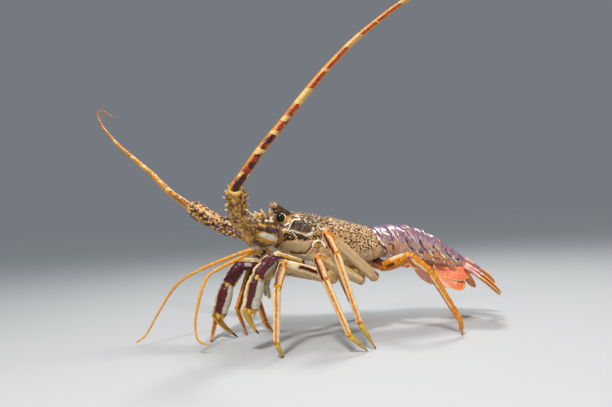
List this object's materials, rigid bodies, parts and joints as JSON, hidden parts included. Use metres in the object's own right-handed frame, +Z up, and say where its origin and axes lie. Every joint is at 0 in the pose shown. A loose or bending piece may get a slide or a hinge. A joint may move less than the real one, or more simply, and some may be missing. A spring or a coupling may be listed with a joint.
{
  "type": "spiny lobster",
  "caption": "Life-size spiny lobster standing on its legs, with thorny shell, horned brow, very long feelers, ringed tail and tail fan.",
  "frame": {"origin": "bottom centre of the bounding box, on the floor that the feet stand on", "axes": "+Z up, -X towards the head, +X towards the tail, -Y towards the animal's left side"},
  "size_m": [0.6254, 0.3328, 0.4949],
  "materials": {
    "carapace_shell": "satin horny shell, tan mottled with purple-brown, rough with thorns",
    "underside_shell": "pale olive-yellow underside shell",
    "eye": "glossy black eye on a pale stalk",
    "abdomen_shell": "satin purple-brown ring plates with paired pale spots",
    "antenna_base_shell": "golden-tan thorny shell with purple-brown patches",
    "antenna_feeler": "satin red-orange, ringed and banded with cream",
    "antennule": "smooth orange",
    "claw_leg_shell": "satin maroon with cream edges",
    "walking_leg_shell": "satin orange with maroon stripes and cream edges",
    "tail_fan_blade": "purple root and soft orange blade with ray ridges",
    "pleopod_leaf": "soft pink-orange leaf with a yellow rim"
  },
  "bodies": {
    "root": {"carapace": "carapace_shell", "head": "carapace_shell", "sternum": "underside_shell", "maxilliped_left": "underside_shell", "maxilliped_right": "underside_shell", "eye_left": "eye", "eye_right": "eye", "abdomen_1": "abdomen_shell", "abdomen_2": "abdomen_shell", "abdomen_3": "abdomen_shell", "abdomen_4": "abdomen_shell", "abdomen_5": "abdomen_shell", "abdomen_6": "abdomen_shell", "antenna_base_left": "antenna_base_shell", "antenna_base_right": "antenna_base_shell", "antenna_fourth_left": "antenna_base_shell", "antenna_fourth_right": "antenna_base_shell", "antenna_fifth_left": "antenna_base_shell", "antenna_fifth_right": "antenna_base_shell", "antenna_flagellum_left_lower": "antenna_feeler", "antenna_flagellum_left_upper": "antenna_feeler", "antenna_flagellum_right_lower": "antenna_feeler", "antenna_flagellum_right_upper": "antenna_feeler", "antennule_left": "antennule", "antennule_right": "antennule", "leg_1_left_upper": "claw_leg_shell", "leg_1_left_lower": "claw_leg_shell", "leg_1_right_upper": "claw_leg_shell", "leg_1_right_lower": "claw_leg_shell", "leg_2_left_upper": "walking_leg_shell", "leg_2_left_lower": "walking_leg_shell", "leg_3_left_upper": "walking_leg_shell", "leg_3_left_lower": "walking_leg_shell", "leg_4_left_upper": "walking_leg_shell", "leg_4_left_lower": "walking_leg_shell", "leg_5_left_upper": "walking_leg_shell", "leg_5_left_lower": "walking_leg_shell", "leg_2_right_upper": "walking_leg_shell", "leg_2_right_lower": "walking_leg_shell", "leg_3_right_upper": "walking_leg_shell", "leg_3_right_lower": "walking_leg_shell", "leg_4_right_upper": "walking_leg_shell", "leg_4_right_lower": "walking_leg_shell", "leg_5_right_upper": "walking_leg_shell", "leg_5_right_lower": "walking_leg_shell", "telson": "tail_fan_blade", "uropod_inner_left": "tail_fan_blade", "uropod_inner_right": "tail_fan_blade", "uropod_outer_left": "tail_fan_blade", "uropod_outer_right": "tail_fan_blade", "pleopod_2_left": "pleopod_leaf", "pleopod_2_right": "pleopod_leaf", "pleopod_3_left": "pleopod_leaf", "pleopod_3_right": "pleopod_leaf", "pleopod_4_left": "pleopod_leaf", "pleopod_4_right": "pleopod_leaf", "pleopod_5_left": "pleopod_leaf", "pleopod_5_right": "pleopod_leaf"}
  },
  "joints": []
}
